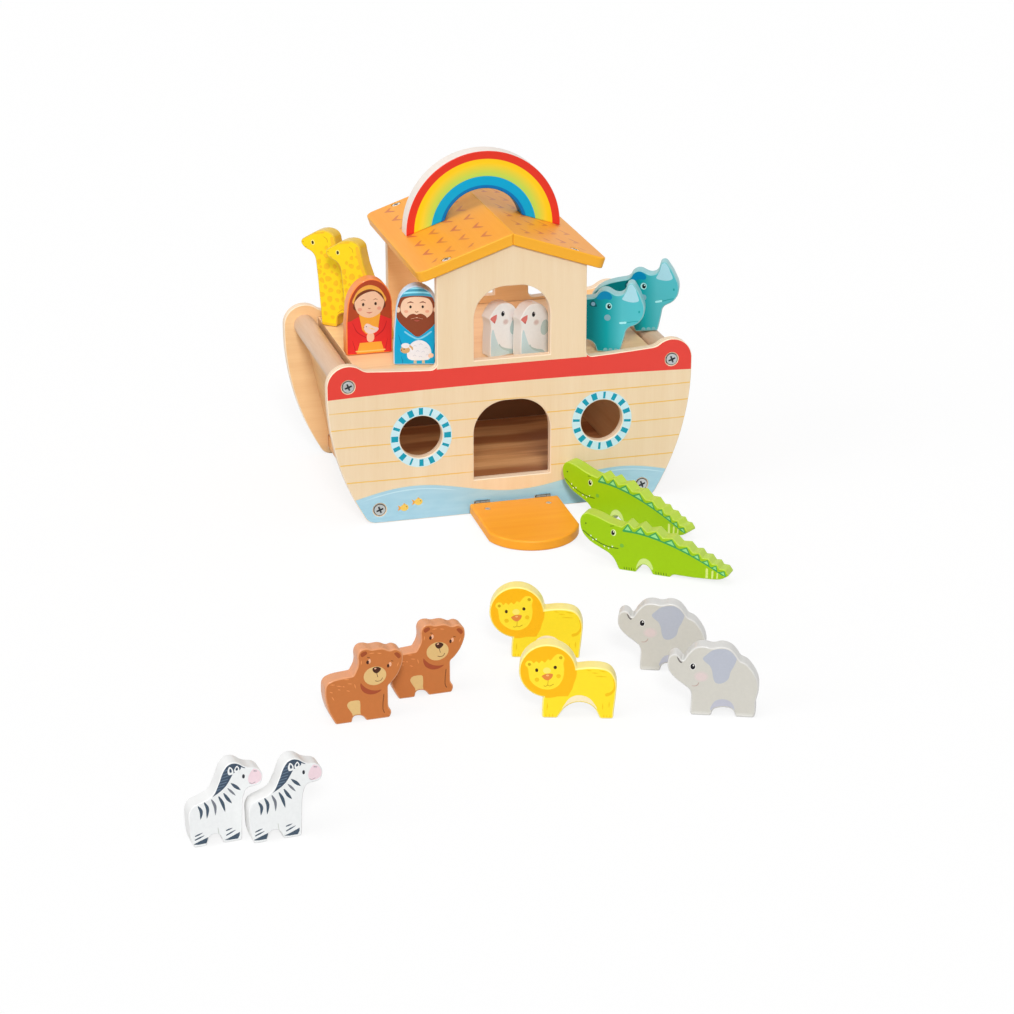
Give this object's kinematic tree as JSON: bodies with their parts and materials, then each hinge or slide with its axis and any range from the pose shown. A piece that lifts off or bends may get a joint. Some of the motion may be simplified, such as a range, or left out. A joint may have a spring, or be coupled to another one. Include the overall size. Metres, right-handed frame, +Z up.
{
  "type": "wooden noah's ark toy",
  "caption": "Plywood toy ark with a curved hull, gabled house, orange roof, rainbow arch and hinged ramp, with loose painted slab animals and people around and aboard",
  "frame": {"origin": "middle of the front panel's bottom edge, half way through its thickness, where the hull stands on the floor", "axes": "+Z up, bow along -X, ramp and loose animals on the -Y side, back panel on the +Y side"},
  "size_m": [0.5872, 0.8033, 0.321],
  "materials": {
    "birch": "clear matt varnish on birch plywood",
    "orange_paint": "satin stain on plywood",
    "rainbow_paint": "printed colour bands on plywood",
    "steel": "zinc plated",
    "giraffe_paint": "painted wood, satin",
    "woman_paint": "painted wood, satin",
    "man_paint": "painted wood, satin",
    "dove_paint": "painted wood, satin",
    "rhino_paint": "painted wood, satin",
    "crocodile_paint": "painted wood, satin",
    "bear_paint": "painted wood, satin",
    "lion_paint": "painted wood, satin",
    "elephant_paint": "painted wood, satin",
    "zebra_paint": "painted wood, satin"
  },
  "bodies": {
    "ark": {"front_panel": "birch", "back_panel": "birch", "deck": "birch", "hull_floor": "birch", "bow_board": "birch", "stern_board": "birch", "bow_rail": "birch", "stern_rail": "birch", "roof_left": "orange_paint", "roof_right": "orange_paint", "rainbow": "rainbow_paint", "rainbow_pegs": "birch", "panel_screws": "steel", "roof_screws": "steel", "hinge_hull_leaves": "steel", "hinge_pins": "steel", "hinge_screws": "steel"},
    "ramp": {"ramp": "orange_paint", "hinge_ramp_leaves": "steel", "ramp_screws": "steel"},
    "giraffe_1": {"giraffe_1": "giraffe_paint"},
    "giraffe_2": {"giraffe_2": "giraffe_paint"},
    "woman": {"woman": "woman_paint"},
    "man": {"man": "man_paint"},
    "dove_1": {"dove_1": "dove_paint"},
    "dove_2": {"dove_2": "dove_paint"},
    "rhino_1": {"rhino_1": "rhino_paint"},
    "rhino_2": {"rhino_2": "rhino_paint"},
    "crocodile_1": {"crocodile_1": "crocodile_paint"},
    "crocodile_2": {"crocodile_2": "crocodile_paint"},
    "bear_1": {"bear_1": "bear_paint"},
    "bear_2": {"bear_2": "bear_paint"},
    "lion_1": {"lion_1": "lion_paint"},
    "lion_2": {"lion_2": "lion_paint"},
    "elephant_1": {"elephant_1": "elephant_paint"},
    "elephant_2": {"elephant_2": "elephant_paint"},
    "zebra_1": {"zebra_1": "zebra_paint"},
    "zebra_2": {"zebra_2": "zebra_paint"}
  },
  "joints": [
    {"name": "ramp_hinge", "type": "hinge", "parent": "ark", "child": "ramp", "pos_m": [0, -0.0075, 0.0118], "axis": [-1, 0, 0], "range_deg": [0, 91.65]},
    {"name": "giraffe_1_lift", "type": "slide", "parent": "ark", "child": "giraffe_1", "axis": [0, 0, 1], "range_m": [0, 0.12]},
    {"name": "giraffe_2_lift", "type": "slide", "parent": "ark", "child": "giraffe_2", "axis": [0, 0, 1], "range_m": [0, 0.055]},
    {"name": "woman_lift", "type": "slide", "parent": "ark", "child": "woman", "axis": [0, 0, 1], "range_m": [0, 0.12]},
    {"name": "man_slide", "type": "slide", "parent": "ark", "child": "man", "axis": [-1, 0, 0], "range_m": [0, 0.03]},
    {"name": "dove_1_lift", "type": "slide", "parent": "ark", "child": "dove_1", "axis": [0, 0, 1], "range_m": [0, 0.04]},
    {"name": "dove_2_lift", "type": "slide", "parent": "ark", "child": "dove_2", "axis": [0, 0, 1], "range_m": [0, 0.04]},
    {"name": "rhino_1_lift", "type": "slide", "parent": "ark", "child": "rhino_1", "axis": [0, 0, 1], "range_m": [0, 0.025]},
    {"name": "rhino_2_lift", "type": "slide", "parent": "ark", "child": "rhino_2", "axis": [0, 0, 1], "range_m": [0, 0.12]},
    {"name": "crocodile_1_lift", "type": "slide", "parent": "ark", "child": "crocodile_1", "axis": [0, 0, 1], "range_m": [0, 0.06]},
    {"name": "crocodile_2_lift", "type": "slide", "parent": "ark", "child": "crocodile_2", "axis": [0, 0, 1], "range_m": [0, 0.06]},
    {"name": "bear_1_lift", "type": "slide", "parent": "ark", "child": "bear_1", "axis": [0, 0, 1], "range_m": [0, 0.06]},
    {"name": "bear_2_lift", "type": "slide", "parent": "ark", "child": "bear_2", "axis": [0, 0, 1], "range_m": [0, 0.06]},
    {"name": "lion_1_lift", "type": "slide", "parent": "ark", "child": "lion_1", "axis": [0, 0, 1], "range_m": [0, 0.06]},
    {"name": "lion_2_lift", "type": "slide", "parent": "ark", "child": "lion_2", "axis": [0, 0, 1], "range_m": [0, 0.06]},
    {"name": "elephant_1_lift", "type": "slide", "parent": "ark", "child": "elephant_1", "axis": [0, 0, 1], "range_m": [0, 0.06]},
    {"name": "elephant_2_lift", "type": "slide", "parent": "ark", "child": "elephant_2", "axis": [0, 0, 1], "range_m": [0, 0.06]},
    {"name": "zebra_1_lift", "type": "slide", "parent": "ark", "child": "zebra_1", "axis": [0, 0, 1], "range_m": [0, 0.06]},
    {"name": "zebra_2_slide", "type": "slide", "parent": "ark", "child": "zebra_2", "axis": [0.0872, -0.9962, 0], "range_m": [0, 0.06]}
  ]
}
